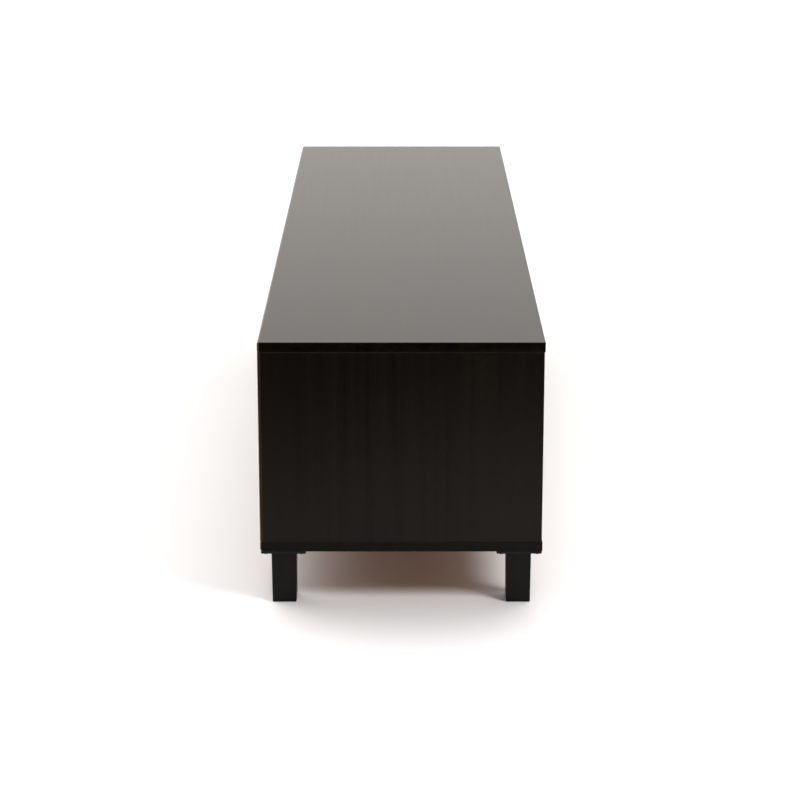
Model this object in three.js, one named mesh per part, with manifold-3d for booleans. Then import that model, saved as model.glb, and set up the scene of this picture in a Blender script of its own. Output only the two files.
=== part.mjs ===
// A long, low dresser in black-brown melamine board, on short square legs.
// Two columns of two wide drawers stand inset in the carcass. They have no handles: a finger reaches
// over the bevelled top edge of each front, through a gap that a set-back rail closes behind.
//
// Millimetres, +Z up. X runs along the length, the drawers open towards -Y, and the origin is on the
// floor under the middle. "left" and "right" are as seen by someone who stands at the drawers.

import * as THREE from "three";
import { mergeVertices } from "three/addons/utils/BufferGeometryUtils.js";
import Module from "manifold-3d";

// ---------------------------------------------------------------- driving dimensions

const LENGTH = 1800;
const DEPTH = 450;
const HEIGHT = 436;
const BOARD = 16; // the top, bottom, ends, divider, rails and drawer fronts
const BACK_LIP = 1.25; // how far the top and bottom stand out behind the upright panels
const ARRIS = 3; // radius of the edge-banded front edges
const UNDER_ARRIS = 6; // radius of the lower front edge of the bottom panel

const BACK_THICKNESS = 3;
const BACK_SET_IN = 8; // from an upright panel's back edge to the back panel
const GROOVE_DEPTH = 5;
const GROOVE_PLAY = 0.25; // round a panel in its groove

const LEG_TOP = 40;
const LEG_FOOT = 38.5;
const LEG_HEIGHT = 88;
const PLATE = 72;
const PLATE_THICKNESS = 4;
const PLATE_CORNER = 2;
const PLATE_HOLE = 2.5; // radius
const PLATE_HOLE_INSET = 7.5;
const PLATE_SET_IN = 1; // from the edges of the bottom panel

const FINGER_GAP = 16; // above each front, as high as the rail behind it is thick
const FRONT_GAP = 3; // below the lowest front and beside every front
const FRONT_BEVEL = 8; // on the back of a front's top edge, for the fingers
const RAIL_SET_BACK = 20; // from the back of a front to its rail
const RAIL_DEPTH = 60;

const BOX_BOARD = 12; // drawer sides and back
const BOX_LENGTH = 400;
const BOX_ABOVE_FRONT = 12; // from a front's lower edge to its box
const BOX_BELOW_FRONT = 14; // from a box to its front's top edge
const TRAY_THICKNESS = 5;
const TRAY_LIFT = 10; // from the box's lower edge to the drawer bottom

const RUNNER_SPACE = 13; // between a drawer side and the panel beside it
const RUNNER_GAUGE = 1.25;
const CHANNEL_HEIGHT = 36;
const CHANNEL_WIDTH = 10;
const CHANNEL_DROP = 4; // from the box's lower edge down to the channel
const CHANNEL_SET_BACK = 3; // from the back of a front
const ROLLER_RADIUS = 10;
const ROLLER_WIDTH = 8;
const ROLLER_PLAY = 0.25;
const ROLLER_INSET = 12; // from the end of its runner
const FLANGE_LIFT = 1; // of a drawer runner's flange above both rollers
const FLANGE_LAP = 2; // of that flange over the cabinet runner's web

const ROLLER_SEGMENTS = 24;
const ARC_SEGMENTS = 6; // in a quarter turn

// ---------------------------------------------------------------- derived places

const FRONT_Y = -DEPTH / 2;
const BACK_Y = DEPTH / 2;
const PLATE_TOP = LEG_HEIGHT + PLATE_THICKNESS;
const INSIDE_LOW = PLATE_TOP + BOARD;
const INSIDE_HIGH = HEIGHT - BOARD;
const INSIDE_HEIGHT = INSIDE_HIGH - INSIDE_LOW;

const UPRIGHT_BACK = BACK_Y - BACK_LIP;
const BACK_PANEL_BACK = UPRIGHT_BACK - BACK_SET_IN;
const BACK_PANEL_FRONT = BACK_PANEL_BACK - BACK_THICKNESS;

const BAY_INNER = BOARD / 2; // |x| of the divider's faces
const BAY_OUTER = LENGTH / 2 - BOARD; // |x| of the end panels' inner faces

const ROWS = ["lower", "upper"];
const FRONT_HEIGHT =
  (INSIDE_HEIGHT - FRONT_GAP - ROWS.length * FINGER_GAP) / ROWS.length;
const FRONT_BACK = FRONT_Y + BOARD;
const BOX_HEIGHT = FRONT_HEIGHT - BOX_ABOVE_FRONT - BOX_BELOW_FRONT;
const BOX_BACK = FRONT_BACK + BOX_LENGTH;

// ---------------------------------------------------------------- materials

const finish = (color, roughness, metalness = 0) => ({
  color,
  roughness,
  metalness,
});
const BLACK_BROWN = finish(0x1c1713, 0.38);
const DRAWER_BOARD = finish(0x2b2420, 0.55);
const HARDBOARD = finish(0x5a4332, 0.7);
const LEG_BLACK = finish(0x1a1714, 0.45);
const PLATE_BLACK = finish(0x17171a, 0.4, 0.6);
const RUNNER_STEEL = finish(0x8d9094, 0.4, 0.8);

// ---------------------------------------------------------------- geometry helpers

const wasm = await Module();
wasm.setup();

function toSolid(geometry) {
  const bare = geometry.clone();
  bare.deleteAttribute("normal");
  bare.deleteAttribute("uv");
  const merged = mergeVertices(bare);
  return new wasm.Manifold(
    new wasm.Mesh({
      numProp: 3,
      vertProperties: new Float32Array(merged.attributes.position.array),
      triVerts: new Uint32Array(merged.index.array),
    }),
  );
}

function toGeometry(solid) {
  const mesh = solid.getMesh();
  const indexed = new THREE.BufferGeometry();
  indexed.setAttribute(
    "position",
    new THREE.BufferAttribute(mesh.vertProperties, 3),
  );
  indexed.setIndex(new THREE.BufferAttribute(mesh.triVerts, 1));
  const geometry = indexed.toNonIndexed();
  geometry.computeVertexNormals();
  return geometry;
}

function cut(geometry, ...tools) {
  const solids = tools.map(toSolid);
  return toGeometry(
    solids.reduce((rest, tool) => rest.subtract(tool), toSolid(geometry)),
  );
}

function join(...geometries) {
  return toGeometry(geometries.map(toSolid).reduce((all, one) => all.add(one)));
}

// A box between two corners.
function block([x0, y0, z0], [x1, y1, z1]) {
  const geometry = new THREE.BoxGeometry(x1 - x0, y1 - y0, z1 - z0);
  return geometry.translate((x0 + x1) / 2, (y0 + y1) / 2, (z0 + z1) / 2);
}

// An outline pushed along an axis from one place to another. The outline's first and second numbers
// are Y and Z on a push along X, X and Z along Y, and X and Y along Z.
const PUSH_BASIS = {
  x: [
    [0, 1, 0],
    [0, 0, 1],
    [1, 0, 0],
  ],
  y: [
    [1, 0, 0],
    [0, 0, 1],
    [0, -1, 0],
  ],
  z: [
    [1, 0, 0],
    [0, 1, 0],
    [0, 0, 1],
  ],
};
function push(shape, axis, from, to) {
  const columns = PUSH_BASIS[axis].map((c) => new THREE.Vector3(...c));
  const geometry = new THREE.ExtrudeGeometry(shape, {
    depth: to - from,
    bevelEnabled: false,
    curveSegments: ARC_SEGMENTS,
  });
  const start = axis === "y" ? -to : from;
  geometry.translate(0, 0, start);
  return geometry.applyMatrix4(new THREE.Matrix4().makeBasis(...columns));
}

function outline(points) {
  return new THREE.Shape(points.map(([a, b]) => new THREE.Vector2(a, b)));
}

// A quarter turn of a shape's outline, anticlockwise from a number of right angles.
function quarterTurn(shape, a, b, radius, rightAngles) {
  const start = (rightAngles * Math.PI) / 2;
  shape.absarc(a, b, radius, start, start + Math.PI / 2, false);
}

// The section of a lying board, in Y and Z: its front edge has an upper and a lower arris.
function lyingSection(front, back, low, high, upperArris, lowerArris) {
  const shape = new THREE.Shape();
  shape.moveTo(back, low);
  shape.lineTo(back, high);
  quarterTurn(shape, front + upperArris, high - upperArris, upperArris, 1);
  quarterTurn(shape, front + lowerArris, low + lowerArris, lowerArris, 2);
  return shape;
}

// The section of a standing board, in X and Y, with both front arrises rounded.
function standingSection(x0, x1, front, back, arris) {
  const shape = new THREE.Shape();
  shape.moveTo(x1, back);
  shape.lineTo(x0, back);
  quarterTurn(shape, x0 + arris, front + arris, arris, 2);
  quarterTurn(shape, x1 - arris, front + arris, arris, 3);
  return shape;
}

// A cylinder along X between two places.
function rod(radius, x0, x1, y, z) {
  const geometry = new THREE.CylinderGeometry(
    radius,
    radius,
    Math.abs(x1 - x0),
    ROLLER_SEGMENTS,
  );
  return geometry.rotateZ(Math.PI / 2).translate((x0 + x1) / 2, y, z);
}

// ---------------------------------------------------------------- scene graph

const dresser = new THREE.Group();
dresser.name = "dresser";

function add(name, geometry, look, parent = dresser) {
  const mesh = new THREE.Mesh(geometry, new THREE.MeshStandardMaterial(look));
  mesh.name = name;
  parent.add(mesh);
  return mesh;
}

// ---------------------------------------------------------------- carcass

// The cutter for the back panels' groove, in the top, the bottom and every upright.
function backGroove(low, high) {
  return block(
    [low[0], BACK_PANEL_FRONT - GROOVE_PLAY, low[1]],
    [high[0], BACK_PANEL_BACK + GROOVE_PLAY, high[1]],
  );
}

function addTopAndBottom() {
  const slabs = [
    {
      name: "top_panel",
      low: INSIDE_HIGH,
      groove: INSIDE_HIGH,
      lowerArris: ARRIS,
    },
    {
      name: "bottom_panel",
      low: PLATE_TOP,
      groove: INSIDE_LOW - GROOVE_DEPTH,
      lowerArris: UNDER_ARRIS,
    },
  ];
  for (const { name, low, groove, lowerArris } of slabs) {
    const high = low + BOARD;
    const section = lyingSection(FRONT_Y, BACK_Y, low, high, ARRIS, lowerArris);
    const slab = push(section, "x", -LENGTH / 2, LENGTH / 2);
    const cutter = backGroove(
      [-BAY_OUTER - GROOVE_DEPTH, groove],
      [BAY_OUTER + GROOVE_DEPTH, groove + GROOVE_DEPTH],
    );
    add(name, cut(slab, cutter), BLACK_BROWN);
  }
}

function addUpright(name, x0, x1, grooves) {
  const section = standingSection(x0, x1, FRONT_Y, UPRIGHT_BACK, ARRIS);
  const upright = push(section, "z", INSIDE_LOW, INSIDE_HIGH);
  const cutters = grooves.map(([g0, g1]) =>
    backGroove([g0, INSIDE_LOW], [g1, INSIDE_HIGH]),
  );
  add(name, cut(upright, ...cutters), BLACK_BROWN);
}

function addUprights() {
  addUpright("end_panel_left", -LENGTH / 2, -BAY_OUTER, [
    [-BAY_OUTER - GROOVE_DEPTH, -BAY_OUTER],
  ]);
  addUpright("end_panel_right", BAY_OUTER, LENGTH / 2, [
    [BAY_OUTER, BAY_OUTER + GROOVE_DEPTH],
  ]);
  addUpright("centre_divider", -BAY_INNER, BAY_INNER, [
    [-BAY_INNER, -BAY_INNER + GROOVE_DEPTH],
    [BAY_INNER - GROOVE_DEPTH, BAY_INNER],
  ]);
}

const BAYS = [
  { name: "left", x0: -BAY_OUTER, x1: -BAY_INNER, outerWall: "x0" },
  { name: "right", x0: BAY_INNER, x1: BAY_OUTER, outerWall: "x1" },
];

function addBackPanels() {
  const tuck = GROOVE_DEPTH - GROOVE_PLAY;
  for (const bay of BAYS) {
    const panel = block(
      [bay.x0 - tuck, BACK_PANEL_FRONT, INSIDE_LOW - tuck],
      [bay.x1 + tuck, BACK_PANEL_BACK, INSIDE_HIGH + tuck],
    );
    add(`back_panel_${bay.name}`, panel, HARDBOARD);
  }
}

// ---------------------------------------------------------------- legs

// A square plate with round corners and a screw hole near each corner, centred on the origin.
function plateShape() {
  const half = PLATE / 2;
  const arc = half - PLATE_CORNER;
  const shape = new THREE.Shape();
  const corners = [
    [1, 1],
    [-1, 1],
    [-1, -1],
    [1, -1],
  ];
  corners.forEach(([sx, sy], i) => {
    quarterTurn(shape, sx * arc, sy * arc, PLATE_CORNER, i);
  });
  const hole = half - PLATE_HOLE_INSET;
  for (const [sx, sy] of corners) {
    const path = new THREE.Path();
    path.absarc(sx * hole, sy * hole, PLATE_HOLE, 0, 2 * Math.PI, false);
    shape.holes.push(path);
  }
  return shape;
}

// A square leg that narrows a little towards the floor, with its foot at z = 0.
function legGeometry() {
  const sides = 4;
  const geometry = new THREE.CylinderGeometry(
    LEG_TOP * Math.SQRT1_2,
    LEG_FOOT * Math.SQRT1_2,
    LEG_HEIGHT,
    sides,
  );
  return geometry
    .rotateY(Math.PI / 4)
    .rotateX(Math.PI / 2)
    .translate(0, 0, LEG_HEIGHT / 2);
}

function addLegs() {
  const reach = PLATE / 2 + PLATE_SET_IN;
  const columns = {
    left: -LENGTH / 2 + reach,
    middle: 0,
    right: LENGTH / 2 - reach,
  };
  const lines = { front: FRONT_Y + reach, back: BACK_Y - reach };
  for (const [line, y] of Object.entries(lines)) {
    for (const [column, x] of Object.entries(columns)) {
      const support = new THREE.Group();
      support.position.set(x, y, 0);
      dresser.add(support);
      const plate = push(plateShape(), "z", LEG_HEIGHT, PLATE_TOP);
      add(`leg_${line}_${column}`, legGeometry(), LEG_BLACK, support);
      add(`leg_plate_${line}_${column}`, plate, PLATE_BLACK, support);
    }
  }
}

// ---------------------------------------------------------------- drawers and their runners

// One wall of a bay: the x of its face and the sign of the direction into the bay.
function wallsOf(bay) {
  const low = { x: bay.x0, inward: 1 };
  const high = { x: bay.x1, inward: -1 };
  return bay.outerWall === "x0"
    ? { outer: low, inner: high }
    : { outer: high, inner: low };
}

// A section drawn with its first number as the distance from a wall, placed at that wall.
function fromWall(wall, points) {
  return outline(points.map(([u, z]) => [wall.x + wall.inward * u, z]));
}

// The set-back rail that closes the finger gap over a front.
function addRail(bay, row, low) {
  const front = FRONT_BACK + RAIL_SET_BACK;
  const rail = block(
    [bay.x0, front, low],
    [bay.x1, front + RAIL_DEPTH, low + FINGER_GAP],
  );
  add(`front_rail_${row}_${bay.name}`, rail, BLACK_BROWN);
}

// A channel on the panel, with a roller near its front end that carries the drawer's runner.
function cabinetRunner(wall, channelLow) {
  const g = RUNNER_GAUGE;
  const high = channelLow + CHANNEL_HEIGHT;
  const front = FRONT_BACK + CHANNEL_SET_BACK;
  const channel = push(
    fromWall(wall, [
      [0, channelLow],
      [CHANNEL_WIDTH, channelLow],
      [CHANNEL_WIDTH, channelLow + g],
      [g, channelLow + g],
      [g, high - g],
      [CHANNEL_WIDTH, high - g],
      [CHANNEL_WIDTH, high],
      [0, high],
    ]),
    "y",
    front,
    front + BOX_LENGTH,
  );
  const roller = rod(
    ROLLER_RADIUS,
    wall.x + wall.inward * (g / 2),
    wall.x + wall.inward * (g + ROLLER_WIDTH),
    front + ROLLER_INSET,
    supportHeight(channelLow) - ROLLER_PLAY - ROLLER_RADIUS,
  );
  return join(channel, roller);
}

// The underside of the drawer runner's flange, which lies on the cabinet runner's roller.
function supportHeight(channelLow) {
  const rollerTop = channelLow + RUNNER_GAUGE + 2 * (ROLLER_RADIUS + ROLLER_PLAY);
  return rollerTop + FLANGE_LIFT;
}

// A bent strip that holds a drawer side from below, with a roller near its back end that runs in
// the channel.
function drawerRunner(wall, channelLow) {
  const g = RUNNER_GAUGE;
  const sideLow = channelLow + CHANNEL_DROP;
  const flange = supportHeight(channelLow);
  const flangeEdge = g + FLANGE_LAP;
  const strip = push(
    fromWall(wall, [
      [flangeEdge, flange],
      [RUNNER_SPACE - g, flange],
      [RUNNER_SPACE - g, sideLow - g],
      [RUNNER_SPACE + BOX_BOARD, sideLow - g],
      [RUNNER_SPACE + BOX_BOARD, sideLow],
      [RUNNER_SPACE, sideLow],
      [RUNNER_SPACE, flange + g],
      [flangeEdge, flange + g],
    ]),
    "y",
    FRONT_BACK,
    BOX_BACK,
  );
  const outerEnd = RUNNER_SPACE - g - ROLLER_WIDTH;
  const roller = rod(
    ROLLER_RADIUS,
    wall.x + wall.inward * outerEnd,
    wall.x + wall.inward * (RUNNER_SPACE - g / 2),
    BOX_BACK - ROLLER_INSET,
    channelLow + g + ROLLER_PLAY + ROLLER_RADIUS,
  );
  return join(strip, roller);
}

// The front, bevelled behind its top edge and grooved for the drawer bottom.
function drawerFront(bay, low, trayLow, trayGroove) {
  const high = low + FRONT_HEIGHT;
  const section = outline([
    [FRONT_Y, low],
    [FRONT_BACK, low],
    [FRONT_BACK, high - FRONT_BEVEL],
    [FRONT_BACK - FRONT_BEVEL, high],
    [FRONT_Y, high],
  ]);
  const front = push(section, "x", bay.x0 + FRONT_GAP, bay.x1 - FRONT_GAP);
  const groove = block(
    [trayGroove.x0, FRONT_BACK - GROOVE_DEPTH, trayLow - GROOVE_PLAY],
    [trayGroove.x1, FRONT_BACK, trayLow + TRAY_THICKNESS + GROOVE_PLAY],
  );
  return cut(front, groove);
}

// A side, with a groove along its inner face for the drawer bottom.
function drawerSide(wall, boxLow, trayLow) {
  const outerFace = RUNNER_SPACE;
  const innerFace = RUNNER_SPACE + BOX_BOARD;
  const grooveFloor = innerFace - GROOVE_DEPTH;
  const grooveLow = trayLow - GROOVE_PLAY;
  const grooveHigh = trayLow + TRAY_THICKNESS + GROOVE_PLAY;
  const section = fromWall(wall, [
    [outerFace, boxLow],
    [innerFace, boxLow],
    [innerFace, grooveLow],
    [grooveFloor, grooveLow],
    [grooveFloor, grooveHigh],
    [innerFace, grooveHigh],
    [innerFace, boxLow + BOX_HEIGHT],
    [outerFace, boxLow + BOX_HEIGHT],
  ]);
  return push(section, "y", FRONT_BACK, BOX_BACK);
}

function addDrawer(bay, row, frontLow) {
  const name = `drawer_${row}_${bay.name}`;
  const boxLow = frontLow + BOX_ABOVE_FRONT;
  const boxHigh = boxLow + BOX_HEIGHT;
  const trayLow = boxLow + TRAY_LIFT;
  const channelLow = boxLow - CHANNEL_DROP;
  const inside = {
    x0: bay.x0 + RUNNER_SPACE + BOX_BOARD,
    x1: bay.x1 - RUNNER_SPACE - BOX_BOARD,
  };
  const groove = { x0: inside.x0 - GROOVE_DEPTH, x1: inside.x1 + GROOVE_DEPTH };
  const tuck = GROOVE_DEPTH - GROOVE_PLAY;

  const drawer = new THREE.Group();
  drawer.name = name;
  dresser.add(drawer);

  const front = drawerFront(bay, frontLow, trayLow, groove);
  add(`${name}_front`, front, BLACK_BROWN, drawer);
  const back = block(
    [inside.x0, BOX_BACK - BOX_BOARD, trayLow + TRAY_THICKNESS],
    [inside.x1, BOX_BACK, boxHigh],
  );
  add(`${name}_back`, back, DRAWER_BOARD, drawer);
  const bottom = block(
    [inside.x0 - tuck, FRONT_BACK - tuck, trayLow],
    [inside.x1 + tuck, BOX_BACK, trayLow + TRAY_THICKNESS],
  );
  add(`${name}_bottom`, bottom, HARDBOARD, drawer);

  for (const [hand, wall] of Object.entries(wallsOf(bay))) {
    const side = drawerSide(wall, boxLow, trayLow);
    const runner = drawerRunner(wall, channelLow);
    const channel = cabinetRunner(wall, channelLow);
    add(`${name}_side_${hand}`, side, DRAWER_BOARD, drawer);
    add(`${name}_runner_${hand}`, runner, RUNNER_STEEL, drawer);
    add(`cabinet_runner_${row}_${bay.name}_${hand}`, channel, RUNNER_STEEL);
  }
}

function addDrawersAndRails() {
  ROWS.forEach((row, i) => {
    const frontLow = INSIDE_LOW + FRONT_GAP + i * (FRONT_HEIGHT + FINGER_GAP);
    for (const bay of BAYS) {
      addDrawer(bay, row, frontLow);
      addRail(bay, row, frontLow + FRONT_HEIGHT);
    }
  });
}

addTopAndBottom();
addUprights();
addBackPanels();
addLegs();
addDrawersAndRails();

export default dresser;
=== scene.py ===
"""A long, low dresser in black-brown melamine board, in a pale studio, seen from its right-hand end.

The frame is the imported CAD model: X along the length, the drawers open towards -Y, Z up, metres.
"""

import math

import bmesh
import bpy
from mathutils import Matrix, Vector


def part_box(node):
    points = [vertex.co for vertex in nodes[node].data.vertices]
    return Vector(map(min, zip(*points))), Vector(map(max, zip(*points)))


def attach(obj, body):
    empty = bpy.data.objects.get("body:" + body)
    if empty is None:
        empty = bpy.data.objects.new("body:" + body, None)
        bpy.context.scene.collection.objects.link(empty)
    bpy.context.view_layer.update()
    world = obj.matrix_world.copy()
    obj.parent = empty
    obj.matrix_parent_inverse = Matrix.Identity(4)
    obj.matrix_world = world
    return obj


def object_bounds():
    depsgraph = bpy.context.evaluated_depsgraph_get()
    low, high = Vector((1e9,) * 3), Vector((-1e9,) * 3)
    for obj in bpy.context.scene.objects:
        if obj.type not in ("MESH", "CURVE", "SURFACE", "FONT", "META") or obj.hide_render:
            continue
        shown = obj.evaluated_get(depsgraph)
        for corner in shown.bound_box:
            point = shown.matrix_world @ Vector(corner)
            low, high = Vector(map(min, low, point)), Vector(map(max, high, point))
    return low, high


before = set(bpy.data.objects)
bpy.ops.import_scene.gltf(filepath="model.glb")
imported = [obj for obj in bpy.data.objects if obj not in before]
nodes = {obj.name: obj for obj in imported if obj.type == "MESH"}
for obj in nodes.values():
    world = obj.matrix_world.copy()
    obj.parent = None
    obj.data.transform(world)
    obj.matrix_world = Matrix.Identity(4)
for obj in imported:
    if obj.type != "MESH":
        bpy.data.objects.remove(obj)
cad_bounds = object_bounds()
cad_low, cad_high = cad_bounds
CARCASS = "carcass"

# ------------------------------------------------------------------ camera and studio

# The camera stands beyond the right-hand end, in the middle of the depth. It looks along the length
# and a little down.
CAMERA_FROM_END = 3.585
CAMERA_ABOVE_TOP = 0.921
CAMERA_DOWN = math.radians(15.79)
CAMERA_LENS = 107.1  # millimetres
CAMERA_SHIFT = -0.0016  # sideways, in widths of the picture

FLOOR_REACH = 40.0
FLOOR_COLOR = (0.90, 0.885, 0.88, 1)
FLOOR_ROUGHNESS = 0.9
FLOOR_GLOSS = 0.1

# The studio is a white dome, overexposed as in a catalogue picture. It lights the scene mostly from
# above and from beyond the far end, and more from the drawers' side than from the back's.
DOME_COLOR = (1.0, 0.985, 0.97, 1)
DOME_HIGH = 3.55
DOME_LOW = 0.50
DOME_LOW_SINE = 0.15  # sine of the elevation where the dome starts to brighten
DOME_HIGH_SINE = 0.60
DOME_FAR_X = -0.45  # the dome dims between these parts of its direction towards the camera
DOME_NEAR_X = 0.18
DOME_CAMERA_SIDE = 0.04
DOME_FRONT_Y = -0.1  # and between these parts of its direction towards the back of the dresser
DOME_BACK_Y = 0.8
DOME_FRONT_SIDE = 1.12
DOME_BACK_SIDE = 0.50

# Reflections and the camera see another dome, which is brightest at the horizon.
REFLECTED_COLOR = (1.0, 0.95, 0.90, 1)
REFLECTED_HORIZON = 1.50
REFLECTED_HIGH = 1.16
REFLECTED_HIGH_SINE = 0.30

# Two softboxes, aimed at the foot of the near end: their azimuth in degrees from the camera's
# direction towards the back of the dresser, their height angle, and their power. The key is a weak
# one, high on the camera's side. The kicker draws the shadow beside the right-hand leg and most of
# the edge of the shadow between the legs.
SOFTBOX_DISTANCE = 4.0
SOFTBOX_SIZE = 1.5
KEY = (-5, 56, 18)
KICKER = (55, 41, 92)

# A graduated dark card on the floor before the near end, as a photographer's flag. Only glossy
# reflections see it: it takes the white floor's glare off the upper part of the end panel.
FLAG_COLOR = (0.01, 0.01, 0.01, 1)
FLAG_GLOSS = 0.0
FLAG_CLEAR = 0.20  # from the end panel, where the card starts to darken
FLAG_BLACK = 1.47  # and where it is fully dark
FLAG_SLANT = 0.45  # the card starts further out towards the back of the dresser
FLAG_END = 4.5
FLAG_HALF_WIDTH = 1.8
FLAG_LIFT = 0.004  # above the floor


def make_camera():
    camera = bpy.data.objects.new("camera", bpy.data.cameras.new("camera"))
    bpy.context.scene.collection.objects.link(camera)
    camera.location = (
        cad_high.x + CAMERA_FROM_END,
        0,
        cad_high.z + CAMERA_ABOVE_TOP,
    )
    camera.rotation_euler = (math.pi / 2 - CAMERA_DOWN, 0, math.pi / 2)
    camera.data.lens = CAMERA_LENS
    camera.data.shift_x = CAMERA_SHIFT
    bpy.context.scene.camera = camera


def dome_light(tree, split):
    """How bright the dome is, as a light, in the direction whose X, Y and Z are the split's outputs."""
    rise = map_range(
        tree, split.outputs["Z"], DOME_LOW_SINE, DOME_HIGH_SINE, DOME_LOW, DOME_HIGH
    )
    ahead = map_range(
        tree, split.outputs["X"], DOME_FAR_X, DOME_NEAR_X, 1.0, DOME_CAMERA_SIDE
    )
    across = map_range(
        tree, split.outputs["Y"], DOME_FRONT_Y, DOME_BACK_Y, DOME_FRONT_SIDE, DOME_BACK_SIDE
    )
    lit = math_node(tree, "MULTIPLY", rise, ahead)
    return math_node(tree, "MULTIPLY", lit, across)


def make_world():
    world = bpy.data.worlds.new("studio")
    world.use_nodes = True
    tree = world.node_tree
    direction = add_node(tree, "ShaderNodeTexCoord").outputs["Generated"]
    split = add_node(tree, "ShaderNodeSeparateXYZ", {0: direction})
    lit = dome_light(tree, split)
    reflected = map_range(
        tree, split.outputs["Z"], 0, REFLECTED_HIGH_SINE, REFLECTED_HORIZON, REFLECTED_HIGH
    )
    diffuse = add_node(tree, "ShaderNodeLightPath").outputs["Is Diffuse Ray"]
    strength = mix_value(tree, diffuse, reflected, lit)
    tint = mix_color(tree, diffuse, REFLECTED_COLOR, DOME_COLOR)
    background = tree.nodes["Background"]
    tree.links.new(tint, background.inputs["Color"])
    tree.links.new(strength, background.inputs["Strength"])
    bpy.context.scene.world = world
    bpy.context.scene.view_settings.view_transform = "Standard"


def softbox(name, azimuth, height_angle, power):
    """A round softbox that faces the foot of the near end, from angles in degrees."""
    azimuth = math.radians(azimuth)
    rise = math.sin(math.radians(height_angle))
    level = math.cos(math.radians(height_angle))
    aim = Vector((level * math.cos(azimuth), level * math.sin(azimuth), rise))
    lamp = bpy.data.lights.new(name, "AREA")
    lamp.shape = "DISK"
    lamp.size = SOFTBOX_SIZE
    lamp.energy = power
    holder = bpy.data.objects.new(name, lamp)
    bpy.context.scene.collection.objects.link(holder)
    holder.location = Vector((cad_high.x, 0, cad_low.z)) + SOFTBOX_DISTANCE * aim
    holder.rotation_euler = aim.to_track_quat("Z", "Y").to_euler()


def plane_object(name, low, high, z):
    """A level rectangle of the studio, between two corners."""
    mesh = bpy.data.meshes.new(name)
    corners = [
        (low[0], low[1], z),
        (high[0], low[1], z),
        (high[0], high[1], z),
        (low[0], high[1], z),
    ]
    mesh.from_pydata(corners, [], [(0, 1, 2, 3)])
    plane = bpy.data.objects.new(name, mesh)
    bpy.context.scene.collection.objects.link(plane)
    return plane


def make_floor():
    reach = FLOOR_REACH
    floor = plane_object("floor", (-reach, -reach), (reach, reach), cad_low.z)
    material, _, shader = new_material("studio_floor")
    shader.inputs["Base Color"].default_value = FLOOR_COLOR
    shader.inputs["Roughness"].default_value = FLOOR_ROUGHNESS
    shader.inputs["Specular IOR Level"].default_value = FLOOR_GLOSS
    floor.data.materials.append(material)


def make_flag():
    low = (cad_high.x + FLAG_CLEAR, -FLAG_HALF_WIDTH)
    high = (cad_high.x + FLAG_END, FLAG_HALF_WIDTH)
    flag = plane_object("flag_card", low, high, cad_low.z + FLAG_LIFT)
    material, tree, shader = new_material("flag_black")
    shader.inputs["Base Color"].default_value = FLAG_COLOR
    shader.inputs["Specular IOR Level"].default_value = FLAG_GLOSS
    place = add_node(tree, "ShaderNodeSeparateXYZ", {0: row_coordinates(tree)})
    slant = math_node(tree, "MULTIPLY", place.outputs["Y"], FLAG_SLANT)
    distance = math_node(tree, "SUBTRACT", place.outputs["X"], slant)
    start = cad_high.x + FLAG_CLEAR
    end = cad_high.x + FLAG_BLACK
    density = map_range(tree, distance, start, end, 0.0, 1.0, "LINEAR")
    tree.links.new(density, shader.inputs["Alpha"])
    flag.data.materials.append(material)
    flag.visible_camera = False
    flag.visible_diffuse = False
    flag.visible_shadow = False
    flag.visible_transmission = False


# ------------------------------------------------------------------ material helpers

NOISE_LOW = 0.3  # nearly all of a noise's values lie between these
NOISE_HIGH = 0.7


def new_material(name):
    """A material, its node tree and its principled shader."""
    material = bpy.data.materials.new(name)
    material.use_nodes = True
    tree = material.node_tree
    return material, tree, tree.nodes["Principled BSDF"]


def add_node(tree, kind, inputs=None, **settings):
    """A new node with its settings, and its inputs set to values or linked to sockets."""
    node = tree.nodes.new(kind)
    for key, value in settings.items():
        setattr(node, key, value)
    for key, value in (inputs or {}).items():
        if isinstance(value, bpy.types.NodeSocket):
            tree.links.new(value, node.inputs[key])
        else:
            node.inputs[key].default_value = value
    return node


def math_node(tree, operation, first, second=0.0):
    node = add_node(tree, "ShaderNodeMath", {0: first, 1: second}, operation=operation)
    return node.outputs[0]


def mix_value(tree, factor, first, second):
    inputs = {0: factor, 2: first, 3: second}
    return add_node(tree, "ShaderNodeMix", inputs, data_type="FLOAT").outputs[0]


def mix_color(tree, factor, first, second, blend="MIX"):
    node = add_node(
        tree, "ShaderNodeMix", {0: factor}, data_type="RGBA", blend_type=blend
    )
    for socket, value in ((node.inputs[6], first), (node.inputs[7], second)):
        if isinstance(value, bpy.types.NodeSocket):
            tree.links.new(value, socket)
        else:
            socket.default_value = value
    return node.outputs[2]


def map_range(tree, value, low, high, to_low, to_high, interpolation="SMOOTHSTEP"):
    node = add_node(
        tree,
        "ShaderNodeMapRange",
        {0: value, 1: low, 2: high, 3: to_low, 4: to_high},
        interpolation_type=interpolation,
    )
    return node.outputs[0]


def row_coordinates(tree):
    """The place of a point in the row frame: every CAD object's own coordinates are the row's."""
    return add_node(tree, "ShaderNodeTexCoord").outputs["Object"]


def noise(tree, coordinates, scale, detail, roughness, offset=0.0):
    """Noise over coordinates that are first scaled by three factors, one for each axis, in cycles per
    metre. The offset shifts it, so that no two boards show the same pattern."""
    mapped = add_node(
        tree,
        "ShaderNodeMapping",
        {"Vector": coordinates, "Scale": scale, "Location": (offset,) * 3},
    )
    pattern = add_node(
        tree,
        "ShaderNodeTexNoise",
        {
            "Vector": mapped.outputs[0],
            "Scale": 1.0,
            "Detail": detail,
            "Roughness": roughness,
        },
    )
    return pattern.outputs[0]


def along(axis, lengthwise, across):
    """Three scale factors: lengthwise along the named axis, across on the others."""
    return tuple(lengthwise if letter == axis else across for letter in "xyz")


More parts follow.
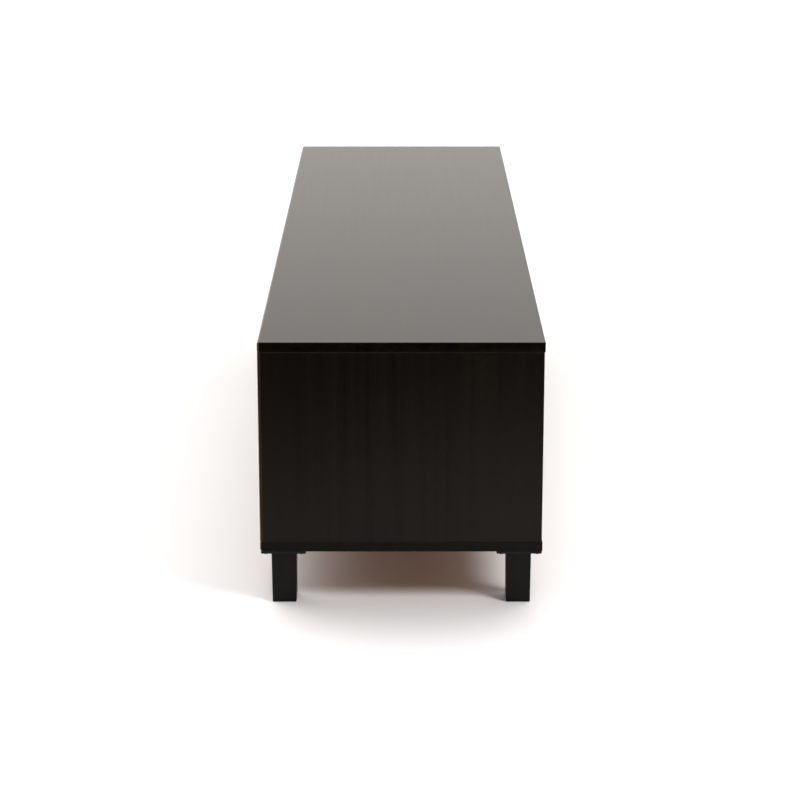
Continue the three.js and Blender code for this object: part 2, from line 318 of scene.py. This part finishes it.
def spread(tree, pattern, low, high):
    """A noise pattern's values, stretched from low to high."""
    return map_range(tree, pattern, NOISE_LOW, NOISE_HIGH, low, high)


def set_finish(shader, roughness, ior):
    shader.inputs["Roughness"].default_value = roughness
    shader.inputs["IOR"].default_value = ior


def set_bump(tree, shader, height, strength, distance):
    """Lets a pattern raise the surface by up to a distance, in metres."""
    bump = add_node(
        tree,
        "ShaderNodeBump",
        {"Strength": strength, "Distance": distance, "Height": height},
    )
    tree.links.new(bump.outputs[0], shader.inputs["Normal"])


# ------------------------------------------------------------------ materials of the dresser

# The printed wood grain. Each pattern's frequency along the grain and across it, and its share.
STREAKS = (1.3, 70.0)
STREAKS_SHARE = 0.5
LINES = (5.0, 420.0)
LINES_SHARE = 0.2
DRIFT = (0.7, 9.0)
DRIFT_SHARE = 0.3
PRINT_LOW = 0.36  # the sums of the three that show darkest and lightest
PRINT_HIGH = 0.64

BOARD_DARK = (0.0008, 0.0006, 0.0003, 1)
BOARD_LIGHT = (0.0041, 0.0026, 0.0014, 1)
BOARD_GLOSS_TINT = (1.0, 0.925, 0.85, 1)
BOARD_IOR = 1.235
BOTTOM_IOR = 1.19
BOARD_ROUGHNESS = 0.22
BOARD_ROUGHNESS_SPREAD = 0.008
BOARD_BUMP = (0.04, 0.0002)  # a bump's strength, and its distance in metres

# The front edges' colour is partly brown banding and partly a painted highlight, where the rounded
# front arris catches light from the side.
UPRIGHT_BAND = 0.0050  # depth of the brown edge banding behind the front, on the upright panels
LEVEL_BAND = 0.0030  # and on the top and the bottom
BAND_BROWN_AND_HIGHLIGHT = (0.023, 0.010, 0.0035, 1)
# On the top it is lighter: the same banding with a stronger painted highlight.
LEVEL_BAND_BROWN_AND_HIGHLIGHT = (0.065, 0.029, 0.013, 1)
BAND_BLUR = 0.0003  # half the width of the band's inner edge
TOP_END_SHARE = 1.0  # of the board's colour, on the banded ends of the top
BOTTOM_END_SHARE = 0.3  # and on those of the bottom
END_BAND_ROUGHNESS = 0.12
END_BAND_SKIN = 0.0002  # a face this near the dresser's end is an end face

BACKING_BROWN = (0.24, 0.105, 0.04, 1)
BACKING_SKIN = 0.001  # and one this near the lowest face is the underside
BACKING_NORMAL = -0.9  # a surface faces down where the Z of its normal is below this

HARDBOARD_FIBRES = 900.0
HARDBOARD_BLOTCHES = 16.0
HARDBOARD_DARK = (0.060, 0.034, 0.019, 1)
HARDBOARD_LIGHT = (0.115, 0.066, 0.036, 1)
HARDBOARD_BLOTCH = (0.045, 0.026, 0.015, 1)
HARDBOARD_BLOTCH_SHARE = 0.22
HARDBOARD_FINISH = (0.72, 1.4)  # a finish is a roughness and an index of refraction
HARDBOARD_BUMP = (0.25, 0.0003)

FOIL_DARK = (0.030, 0.022, 0.017, 1)
FOIL_LIGHT = (0.052, 0.039, 0.030, 1)
FOIL_FINISH = (0.5, 1.4)
FOIL_BUMP = (0.1, 0.0002)

STAIN_DARK = (0.0016, 0.0013, 0.0008, 1)
STAIN_LIGHT = (0.0036, 0.0029, 0.0018, 1)
STAIN_FINISH = (0.38, 1.22)
STAIN_BUMP = (0.2, 0.0003)

COAT_PEEL = 1400.0
COAT_WEAR = 60.0
COAT_DARK = (0.0020, 0.0019, 0.0018, 1)
COAT_LIGHT = (0.0040, 0.0038, 0.0035, 1)
COAT_FINISH = (0.42, 1.25)
COAT_BUMP = (0.3, 0.0002)

ZINC_CLOUDS = 45.0
ZINC_LINES = (8.0, 900.0)
ZINC_DARK = (0.36, 0.37, 0.39, 1)
ZINC_LIGHT = (0.52, 0.53, 0.54, 1)
ZINC_SMOOTH = 0.26
ZINC_ROUGH = 0.42
ZINC_BUMP_DISTANCE = 0.0001
RUNNER_DRAWN = 0.08  # strength of the rolling lines

NYLON_CLOUDS = 220.0
NYLON_DARK = (0.66, 0.65, 0.61, 1)
NYLON_LIGHT = (0.78, 0.77, 0.73, 1)
NYLON_FINISH = (0.38, 1.53)


def wood_print(tree, point, grain, seed):
    """A printed wood grain from 0 to 1, of long streaks, finer lines and slow drifts. The lines alone
    come with it, for the bump."""
    scale = along(grain, *STREAKS)
    streaks = noise(tree, point, scale, detail=5.0, roughness=0.6, offset=seed)
    scale = along(grain, *LINES)
    lines = noise(tree, point, scale, detail=3.0, roughness=0.6, offset=seed + 3.1)
    scale = along(grain, *DRIFT)
    drift = noise(tree, point, scale, detail=2.0, roughness=0.5, offset=seed + 7.7)
    total = math_node(tree, "MULTIPLY", streaks, STREAKS_SHARE)
    for pattern, share in ((lines, LINES_SHARE), (drift, DRIFT_SHARE)):
        part = math_node(tree, "MULTIPLY", pattern, share)
        total = math_node(tree, "ADD", total, part)
    return map_range(tree, total, PRINT_LOW, PRINT_HIGH, 0.0, 1.0), lines


def front_mask(tree, point, depth):
    """1 within depth of the dresser's front plane, 0 behind it."""
    y = add_node(tree, "ShaderNodeSeparateXYZ", {0: point}).outputs["Y"]
    edge = cad_low.y + depth
    return map_range(tree, y, edge - BAND_BLUR, edge + BAND_BLUR, 1.0, 0.0)


def end_mask(tree, point):
    """1 on the outer end faces of the dresser, 0 elsewhere."""
    x = add_node(tree, "ShaderNodeSeparateXYZ", {0: point}).outputs["X"]
    outward = math_node(tree, "ABSOLUTE", x)
    return math_node(tree, "GREATER_THAN", outward, cad_high.x - END_BAND_SKIN)


def band_ends(tree, point, color, rough, share):
    """The colour and roughness of a board whose ends are banded in a share of its own colour."""
    ends = end_mask(tree, point)
    shade = mix_color(tree, 1.0, color, (share,) * 3 + (1,), "MULTIPLY")
    color = mix_color(tree, ends, color, shade)
    return color, mix_value(tree, ends, rough, END_BAND_ROUGHNESS)


def melamine(name, grain, seed, band=0.0, band_and_highlight_color=BAND_BROWN_AND_HIGHLIGHT, end_share=0.0):
    """Black-brown woodgrain melamine. A band is the depth of the brown banding on its front edge,
    painted partly in the banding's brown and partly as a painted highlight.
    Where an end share is given, its ends are banded too, smoother and in that share of its colour."""
    material, tree, shader = new_material(name)
    point = row_coordinates(tree)
    figure, lines = wood_print(tree, point, grain, seed)
    color = mix_color(tree, figure, BOARD_DARK, BOARD_LIGHT)
    least = BOARD_ROUGHNESS - BOARD_ROUGHNESS_SPREAD
    rough = spread(tree, lines, least, BOARD_ROUGHNESS + BOARD_ROUGHNESS_SPREAD)
    if end_share:
        color, rough = band_ends(tree, point, color, rough, end_share)
    if band:
        # The banding's brown on the front edge, lightened as a painted highlight.
        color = mix_color(tree, front_mask(tree, point, band), color, band_and_highlight_color)
    tree.links.new(color, shader.inputs["Base Color"])
    tree.links.new(rough, shader.inputs["Roughness"])
    shader.inputs["IOR"].default_value = BOARD_IOR
    shader.inputs["Specular Tint"].default_value = BOARD_GLOSS_TINT
    set_bump(tree, shader, lines, *BOARD_BUMP)
    return material


def backed_melamine(name, grain, seed, underside):
    """Melamine whose lower face, at the given height, is left as brown backing paper."""
    material = melamine(name, grain, seed, LEVEL_BAND, BAND_BROWN_AND_HIGHLIGHT, BOTTOM_END_SHARE)
    tree = material.node_tree
    shader = tree.nodes["Principled BSDF"]
    shader.inputs["IOR"].default_value = BOTTOM_IOR
    faced = shader.inputs["Base Color"].links[0].from_socket
    normal = add_node(tree, "ShaderNodeNewGeometry").outputs["Normal"]
    down = add_node(tree, "ShaderNodeSeparateXYZ", {0: normal}).outputs["Z"]
    z = add_node(tree, "ShaderNodeSeparateXYZ", {0: row_coordinates(tree)}).outputs["Z"]
    downward = math_node(tree, "LESS_THAN", down, BACKING_NORMAL)
    low = math_node(tree, "LESS_THAN", z, underside + BACKING_SKIN)
    mask = math_node(tree, "MULTIPLY", downward, low)
    color = mix_color(tree, mask, faced, BACKING_BROWN)
    tree.links.new(color, shader.inputs["Base Color"])
    return material


def hardboard(name, seed):
    """Brown hardboard: a fine fibrous speckle over slow blotches."""
    material, tree, shader = new_material(name)
    point = row_coordinates(tree)
    scale = (HARDBOARD_FIBRES,) * 3
    fibres = noise(tree, point, scale, detail=4.0, roughness=0.7, offset=seed)
    scale = (HARDBOARD_BLOTCHES,) * 3
    blotches = noise(tree, point, scale, detail=4.0, roughness=0.6, offset=seed + 5.0)
    speckle = spread(tree, fibres, 0.0, 1.0)
    color = mix_color(tree, speckle, HARDBOARD_DARK, HARDBOARD_LIGHT)
    shade = spread(tree, blotches, 0.0, HARDBOARD_BLOTCH_SHARE)
    color = mix_color(tree, shade, color, HARDBOARD_BLOTCH)
    tree.links.new(color, shader.inputs["Base Color"])
    set_finish(shader, *HARDBOARD_FINISH)
    set_bump(tree, shader, fibres, *HARDBOARD_BUMP)
    return material


def foil_board(name, grain, seed):
    """The matt brown foil of the drawer sides and backs."""
    material, tree, shader = new_material(name)
    point = row_coordinates(tree)
    figure, lines = wood_print(tree, point, grain, seed)
    color = mix_color(tree, figure, FOIL_DARK, FOIL_LIGHT)
    tree.links.new(color, shader.inputs["Base Color"])
    set_finish(shader, *FOIL_FINISH)
    set_bump(tree, shader, lines, *FOIL_BUMP)
    return material


def stained_wood(name, grain, seed):
    """The legs: black-brown stain under a satin lacquer."""
    material, tree, shader = new_material(name)
    point = row_coordinates(tree)
    figure, lines = wood_print(tree, point, grain, seed)
    color = mix_color(tree, figure, STAIN_DARK, STAIN_LIGHT)
    tree.links.new(color, shader.inputs["Base Color"])
    set_finish(shader, *STAIN_FINISH)
    set_bump(tree, shader, lines, *STAIN_BUMP)
    return material


def powder_coat(name):
    """Black powder coat with a fine orange-peel."""
    material, tree, shader = new_material(name)
    point = row_coordinates(tree)
    peel = noise(tree, point, (COAT_PEEL,) * 3, detail=2.0, roughness=0.5)
    wear = noise(tree, point, (COAT_WEAR,) * 3, detail=4.0, roughness=0.6, offset=2.0)
    color = mix_color(tree, spread(tree, wear, 0.0, 1.0), COAT_DARK, COAT_LIGHT)
    tree.links.new(color, shader.inputs["Base Color"])
    set_finish(shader, *COAT_FINISH)
    set_bump(tree, shader, peel, *COAT_BUMP)
    return material


def zinc_plate(name, drawn):
    """Bright zinc-plated steel, a little cloudy, with rolling lines along Y of the given strength."""
    material, tree, shader = new_material(name)
    point = row_coordinates(tree)
    clouds = noise(tree, point, (ZINC_CLOUDS,) * 3, detail=4.0, roughness=0.6)
    scale = along("y", *ZINC_LINES)
    lines = noise(tree, point, scale, detail=2.0, roughness=0.5, offset=4.0)
    color = mix_color(tree, spread(tree, clouds, 0.0, 1.0), ZINC_DARK, ZINC_LIGHT)
    tree.links.new(color, shader.inputs["Base Color"])
    rough = spread(tree, lines, ZINC_SMOOTH, ZINC_ROUGH)
    tree.links.new(rough, shader.inputs["Roughness"])
    shader.inputs["Metallic"].default_value = 1.0
    if drawn:
        set_bump(tree, shader, lines, drawn, ZINC_BUMP_DISTANCE)
    return material


def white_nylon(name):
    """Milky nylon, faintly mottled."""
    material, tree, shader = new_material(name)
    point = row_coordinates(tree)
    clouds = noise(tree, point, (NYLON_CLOUDS,) * 3, detail=3.0, roughness=0.5, offset=3.0)
    color = mix_color(tree, spread(tree, clouds, 0.0, 1.0), NYLON_DARK, NYLON_LIGHT)
    tree.links.new(color, shader.inputs["Base Color"])
    set_finish(shader, *NYLON_FINISH)
    return material


# ------------------------------------------------------------------ finishing the CAD nodes

BOARD_BEVEL = 0.0005
CARCASS_BEVEL = 0.0009  # wide enough to draw the seams between the end panels and the slabs
LEG_BEVEL = 0.0016
PLATE_BEVEL = 0.0005
RUNNER_BEVEL = 0.00025  # and of the hardboard
BEVEL_FROM_ANGLE = math.radians(35)
WELD_DISTANCE = 1e-6


def finish_node(name, material, bevel, segments=2):
    """Gives a CAD node its material and softens its edges, without moving any of its faces."""
    node = nodes[name]
    node.data.materials[0] = material
    if "custom_normal" in node.data.attributes:
        node.data.attributes.remove(node.data.attributes["custom_normal"])
    node.data.shade_smooth()
    weld = node.modifiers.new("weld", "WELD")
    weld.merge_threshold = WELD_DISTANCE
    soften = node.modifiers.new("soften", "BEVEL")
    soften.width = bevel
    soften.segments = segments
    soften.limit_method = "ANGLE"
    soften.angle_limit = BEVEL_FROM_ANGLE
    soften.use_clamp_overlap = False
    soften.loop_slide = False  # corners that slide along the mesh's triangles leave small spikes
    normals = node.modifiers.new("normals", "WEIGHTED_NORMAL")
    normals.keep_sharp = False


def nodes_like(start="", end=""):
    return sorted(n for n in nodes if n.startswith(start) and n.endswith(end))


def finish_carcass():
    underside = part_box("bottom_panel")[0].z
    # The top's front band is painted lighter than the others, a stronger painted highlight.
    banding = (LEVEL_BAND, LEVEL_BAND_BROWN_AND_HIGHLIGHT, TOP_END_SHARE)
    top = melamine("melamine_top", "x", 0.0, *banding)
    finish_node("top_panel", top, CARCASS_BEVEL)
    backed = backed_melamine("melamine_bottom", "x", 20.0, underside)
    finish_node("bottom_panel", backed, CARCASS_BEVEL)
    for i, name in enumerate(["end_panel_left", "end_panel_right", "centre_divider"]):
        upright = melamine(f"melamine_{name}", "z", 31.0 + 9 * i, UPRIGHT_BAND)
        finish_node(name, upright, CARCASS_BEVEL)
    rails = melamine("melamine_rails", "x", 70.0)
    for name in nodes_like("front_rail"):
        finish_node(name, rails, BOARD_BEVEL)
    back = hardboard("hardboard_back", 1.0)
    for name in nodes_like("back_panel"):
        finish_node(name, back, RUNNER_BEVEL)


def finish_legs():
    wood = stained_wood("leg_wood", "z", 5.0)
    steel = powder_coat("leg_plate_steel")
    for name in nodes_like("leg_"):
        if name.startswith("leg_plate_"):
            finish_node(name, steel, PLATE_BEVEL)
        else:
            finish_node(name, wood, LEG_BEVEL, segments=3)


def finish_drawers():
    sides = foil_board("drawer_side_foil", "y", 2.0)
    backs = foil_board("drawer_back_foil", "x", 6.0)
    trays = hardboard("hardboard_tray", 9.0)
    for i, name in enumerate(nodes_like("drawer_", "_front")):
        face = melamine(f"melamine_{name}", "x", 100.0 + 13 * i)
        finish_node(name, face, BOARD_BEVEL)
    for name in nodes_like("drawer_", "_back"):
        finish_node(name, backs, BOARD_BEVEL)
    for name in nodes_like("drawer_", "_bottom"):
        finish_node(name, trays, RUNNER_BEVEL)
    for name in nodes_like("drawer_"):
        if "_side_" in name:
            finish_node(name, sides, BOARD_BEVEL)


def finish_runners():
    zinc = zinc_plate("runner_zinc", RUNNER_DRAWN)
    for name in nodes:
        if "runner" in name:
            finish_node(name, zinc, RUNNER_BEVEL, segments=1)


# ------------------------------------------------------------------ fasteners and rollers

# Sizes that the CAD part gives to its runners and leg plates.
RUNNER_GAUGE = 0.00125
RUNNER_SPACE = 0.013  # between a bay's wall and the drawer side
ROLLER_RADIUS = 0.010
ROLLER_WIDTH = 0.008
ROLLER_INSET = 0.012  # from a runner's end to its roller's axle
ROLLER_PLAY = 0.00025
CHANNEL_SUPPORT = 0.02275  # from a channel's lower face to the flange that its roller carries
PLATE_HOLE_INSET = 0.0075

ROLLER_SKIN = 0.00012  # the nylon stands this much outside the CAD roller
ROLLER_RELIEF = 0.0004  # the rim and hub stand this much before the web between them
ROLLER_RIM = (0.78, 0.74)  # where the rim ends, in shares of the outer radius: its face, its foot
ROLLER_HUB = (0.44, 0.48)  # and where the hub does
ROLLER_FLAT = 0.20  # the flat in the middle of the hub's face, under the axle's rivet
ROLLER_ROUNDING = 0.3  # of the relief, from a square edge to the middle of the rounded one

# A head's radius, its height, the share of its radius where its flat top begins, and the depth of
# its recess.
LEG_SCREW = (0.0044, 0.0022, 0.62, 0.0015)
RUNNER_SCREW = (0.0034, 0.0014, 0.60, 0.0009)
SLIM_SCREW = (0.0032, 0.0011, 0.60, 0.0008)
CAM = (0.0075, 0.0008, 0.92, 0.0006)
HEX_SCREW = (0.0050, 0.0007, 0.86, 0.0006)
AXLE_RIVET = (0.0026, 0.0007)
RIVET_STEPS = 5
HEAD_UPRIGHT = 0.45  # the share of a head's height that is upright
HEAD_SHOULDER = 0.80  # and the share at the middle of its rounded shoulder

LEG_SCREW_CROSS = (0.0021, 0.0005)  # reach and half width
RUNNER_SCREW_CROSS = (0.0016, 0.0004)
CAM_CROSS = (0.0036, 0.0008)
HEX_SCREW_SOCKET = 0.0025  # radius to its corners
RECESS_TAPER = 0.8  # a recess's floor, compared with its rim
RECESS_TURN = 2.4  # from one screw's recess to the next, in radians, so that no two line up

CABINET_SCREW_SHARES = (0.11, 0.46, 0.88)  # of the channel's length
DRAWER_SCREW_SHARES = (0.15, 0.52, 0.84)
CABINET_SCREW_RISE = 0.018  # above the channel's lower face
DRAWER_SCREW_RISE = 0.0085
HEX_SCREW_PLACES = (-0.10, 0.0, 0.10)  # from the middle of the depth
CAM_FROM_FRONT = 0.024  # from the drawer side's front end, and from its lower and upper edges
CAM_FROM_LOW = 0.040
CAM_FROM_HIGH = 0.028

SHARP_ANGLE = math.radians(32)
ROUND_SEGMENTS = 32


def revolve(bm, profile):
    """A surface round Z through rings of the given radius and height. Returns the rings."""
    rings = []
    for radius, height in profile:
        ring = []
        for i in range(ROUND_SEGMENTS):
            angle = 2 * math.pi * i / ROUND_SEGMENTS
            point = (radius * math.cos(angle), radius * math.sin(angle), height)
            ring.append(bm.verts.new(point))
        rings.append(ring)
    for below, above in zip(rings, rings[1:]):
        for i in range(ROUND_SEGMENTS):
            j = (i + 1) % ROUND_SEGMENTS
            bm.faces.new((below[i], below[j], above[j], above[i]))
    return rings


def cross_recess(reach, half_width):
    """The outline of a cross, anticlockwise."""
    corner = [(reach, -half_width), (reach, half_width), (half_width, half_width)]
    points = []
    for quarter in range(4):
        turn = Matrix.Rotation(quarter * math.pi / 2, 2)
        points += [turn @ Vector(point) for point in corner]
    return points


def hexagon_recess(radius):
    angles = [i * math.pi / 3 for i in range(6)]
    return [Vector((radius * math.cos(a), radius * math.sin(a))) for a in angles]


def closed_mesh(bm, name):
    """The finished mesh of bm, smooth except over its sharp edges."""
    bmesh.ops.recalc_face_normals(bm, faces=bm.faces)
    for face in bm.faces:
        face.smooth = True
    for edge in bm.edges:
        edge.smooth = edge.calc_face_angle(0.0) < SHARP_ANGLE
    mesh = bpy.data.meshes.new(name)
    bm.to_mesh(mesh)
    bm.free()
    return mesh


def head_profile(radius, height, crown):
    """The outline of a head from its foot to the edge of its flat top."""
    shoulder = (3 + crown) / 4 * radius
    return [
        (radius, 0.0),
        (radius, HEAD_UPRIGHT * height),
        (shoulder, HEAD_SHOULDER * height),
        (crown * radius, height),
    ]


def head_mesh(name, outline, radius, height, crown, depth):
    """A screw head or cam that stands on z = 0, with a recess of the given outline in its top."""
    bm = bmesh.new()
    rings = revolve(bm, head_profile(radius, height, crown))
    bm.faces.new(rings[0])
    rim = [bm.verts.new((p.x, p.y, height)) for p in outline]
    sunk = [RECESS_TAPER * p for p in outline]
    floor = [bm.verts.new((p.x, p.y, height - depth)) for p in sunk]
    count = len(outline)
    edges = [bm.edges.new((rim[i], rim[(i + 1) % count])) for i in range(count)]
    top = rings[-1]
    edges += [bm.edges.get((top[i], top[i - 1])) for i in range(ROUND_SEGMENTS)]
    bmesh.ops.triangle_fill(bm, use_beauty=True, edges=edges, normal=(0, 0, 1))
    for i in range(count):
        j = (i + 1) % count
        bm.faces.new((rim[i], rim[j], floor[j], floor[i]))
    bm.faces.new(floor)
    return closed_mesh(bm, name)


def roller_mesh(name):
    """A nylon roller round a CAD roller, with rounded edges, and a rim and a hub before its web."""
    outer = ROLLER_RADIUS + ROLLER_SKIN
    web = ROLLER_WIDTH + ROLLER_SKIN
    face = web + ROLLER_RELIEF
    shoulder = ROLLER_RELIEF
    rounded = ROLLER_ROUNDING * shoulder
    profile = [
        (outer - shoulder, 0.0),
        (outer, shoulder),
        (outer, face - 2 * shoulder),
        (outer - rounded, face - shoulder + rounded),
        (outer - shoulder, face),
        (ROLLER_RIM[0] * outer, face),
        (ROLLER_RIM[1] * outer, web),
        (ROLLER_HUB[1] * outer, web),
        (ROLLER_HUB[0] * outer, face),
        (ROLLER_FLAT * outer, face),
    ]
    bm = bmesh.new()
    rings = revolve(bm, profile)
    bm.faces.new(rings[0])
    bm.faces.new(rings[-1])
    return closed_mesh(bm, name)


def rivet_mesh(name, radius, height):
    """A domed rivet head on z = 0."""
    bm = bmesh.new()
    profile = [(radius, 0.0)]
    for i in range(1, RIVET_STEPS):
        angle = math.pi / 2 * i / RIVET_STEPS
        profile.append((radius * math.cos(angle), height * math.sin(angle)))
    rings = revolve(bm, profile)
    bm.faces.new(rings[0])
    bm.faces.new(rings[-1])
    return closed_mesh(bm, name)


def facing(point, direction, turn=0.0):
    """A place at a point, with Z along a direction and a turn about it."""
    aim = Vector(direction).to_track_quat("Z", "Y").to_matrix().to_4x4()
    return Matrix.Translation(point) @ aim @ Matrix.Rotation(turn, 4, "Z")


def add_piece(name, unit, places, body, material):
    """One piece that holds a copy of a unit mesh at each place, and moves with a CAD body."""
    bm = bmesh.new()
    for place in places:
        old = len(bm.verts)
        bm.from_mesh(unit)
        bm.verts.ensure_lookup_table()
        bmesh.ops.transform(bm, matrix=place, verts=bm.verts[old:])
    mesh = bpy.data.meshes.new(name)
    bm.to_mesh(mesh)
    bm.free()
    mesh.materials.append(material)
    piece = bpy.data.objects.new(name, mesh)
    bpy.context.scene.collection.objects.link(piece)
    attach(piece, body)


def add_leg_screws(unit, steel):
    inset = PLATE_HOLE_INSET
    for node in nodes_like("leg_plate_"):
        low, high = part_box(node)
        places = []
        for x in (low.x + inset, high.x - inset):
            for y in (low.y + inset, high.y - inset):
                turn = RECESS_TURN * len(places)
                places.append(facing((x, y, low.z), (0, 0, -1), turn))
        name = node.replace("leg_plate_", "leg_screws_")
        add_piece(name, unit, places, CARCASS, steel)


def add_underside_screws(unit, steel):
    """The connecting screws that come up through the bottom into the three upright panels."""
    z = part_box("bottom_panel")[0].z
    places = []
    for node in ("end_panel_left", "centre_divider", "end_panel_right"):
        low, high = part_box(node)
        x = (low.x + high.x) / 2
        for y in HEX_SCREW_PLACES:
            places.append(facing((x, y, z), (0, 0, -1), RECESS_TURN * len(places)))
    add_piece("underside_screws", unit, places, CARCASS, steel)


def wall_of(node, hand):
    """The x of the bay's wall beside a runner or a drawer side, and the sign of x into the bay."""
    low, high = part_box(node)
    near, far = sorted((low.x, high.x), key=abs)
    wall, inside = (far, near) if hand == "outer" else (near, far)
    return wall, math.copysign(1, inside - wall)


def screws_along(channel, x, sign, shares, rise):
    """Places for screws in a row along a channel, at an x, with their heads towards the sign of x."""
    low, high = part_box(channel)
    places = []
    for share in shares:
        y = low.y + share * (high.y - low.y)
        turn = RECESS_TURN * (len(places) + 1)
        places.append(facing((x, y, low.z + rise), (sign, 0, 0), turn))
    return places


def add_roller(name, body, point, sign, units, zinc, nylon):
    """A nylon roller that stands on a web at a point, towards the sign of x, and its axle's rivet."""
    x, y, z = point
    add_piece(name, units["roller"], [facing(point, (sign, 0, 0))], body, nylon)
    face = x + sign * (ROLLER_WIDTH + ROLLER_SKIN + ROLLER_RELIEF)
    place = facing((face, y, z), (sign, 0, 0))
    add_piece(f"{name}_axle", units["rivet"], [place], body, zinc)


def add_runner_details(row, bay, hand, units, zinc, nylon):
    """The screws, nylon rollers and axle rivets of one cabinet runner and one drawer runner."""
    channel = f"cabinet_runner_{row}_{bay}_{hand}"
    drawer = f"drawer_{row}_{bay}"
    wall, inward = wall_of(channel, hand)
    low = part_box(channel)[0]

    web = wall + inward * RUNNER_GAUGE
    places = screws_along(channel, web, inward, CABINET_SCREW_SHARES, CABINET_SCREW_RISE)
    name = f"cabinet_runner_screws_{row}_{bay}_{hand}"
    add_piece(name, units["runner_screw"], places, CARCASS, zinc)

    strip = wall + inward * (RUNNER_SPACE - RUNNER_GAUGE)
    places = screws_along(channel, strip, -inward, DRAWER_SCREW_SHARES, DRAWER_SCREW_RISE)
    name = f"{drawer}_runner_screws_{hand}"
    add_piece(name, units["slim_screw"], places, drawer, zinc)

    z = low.z + CHANNEL_SUPPORT - ROLLER_PLAY - ROLLER_RADIUS
    point = (web, low.y + ROLLER_INSET, z)
    name = f"cabinet_roller_{row}_{bay}_{hand}"
    add_roller(name, CARCASS, point, inward, units, zinc, nylon)

    z = low.z + RUNNER_GAUGE + ROLLER_PLAY + ROLLER_RADIUS
    point = (strip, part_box(f"{drawer}_back")[1].y - ROLLER_INSET, z)
    add_roller(f"{drawer}_roller_{hand}", drawer, point, -inward, units, zinc, nylon)


def add_drawer_cams(drawer, unit, zinc):
    """The cams inside a drawer's sides that hold its front."""
    places = []
    for hand in ("inner", "outer"):
        side = f"{drawer}_side_{hand}"
        low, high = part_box(side)
        wall, inward = wall_of(side, hand)
        face = wall + inward * (high.x - low.x)
        for z in (low.z + CAM_FROM_LOW, high.z - CAM_FROM_HIGH):
            turn = RECESS_TURN * len(places)
            point = (face, low.y + CAM_FROM_FRONT, z)
            places.append(facing(point, (inward, 0, 0), turn))
    add_piece(f"{drawer}_cams", unit, places, drawer, zinc)


def add_fasteners():
    zinc = zinc_plate("fastener_zinc", 0.0)
    steel = powder_coat("screw_black")
    nylon = white_nylon("roller_nylon")
    small = cross_recess(*RUNNER_SCREW_CROSS)
    leg_screw = head_mesh("leg_screw", cross_recess(*LEG_SCREW_CROSS), *LEG_SCREW)
    hex_screw = head_mesh("hex_screw", hexagon_recess(HEX_SCREW_SOCKET), *HEX_SCREW)
    cam = head_mesh("cam", cross_recess(*CAM_CROSS), *CAM)
    units = {
        "runner_screw": head_mesh("runner_screw", small, *RUNNER_SCREW),
        "slim_screw": head_mesh("slim_screw", small, *SLIM_SCREW),
        "roller": roller_mesh("roller"),
        "rivet": rivet_mesh("rivet", *AXLE_RIVET),
    }
    add_leg_screws(leg_screw, steel)
    add_underside_screws(hex_screw, zinc)
    for row in ("lower", "upper"):
        for bay in ("left", "right"):
            add_drawer_cams(f"drawer_{row}_{bay}", cam, zinc)
            for hand in ("inner", "outer"):
                add_runner_details(row, bay, hand, units, zinc, nylon)


make_camera()
make_world()
make_floor()
make_flag()
softbox("key", *KEY)
softbox("kicker", *KICKER)
finish_carcass()
finish_legs()
finish_drawers()
finish_runners()
add_fasteners()
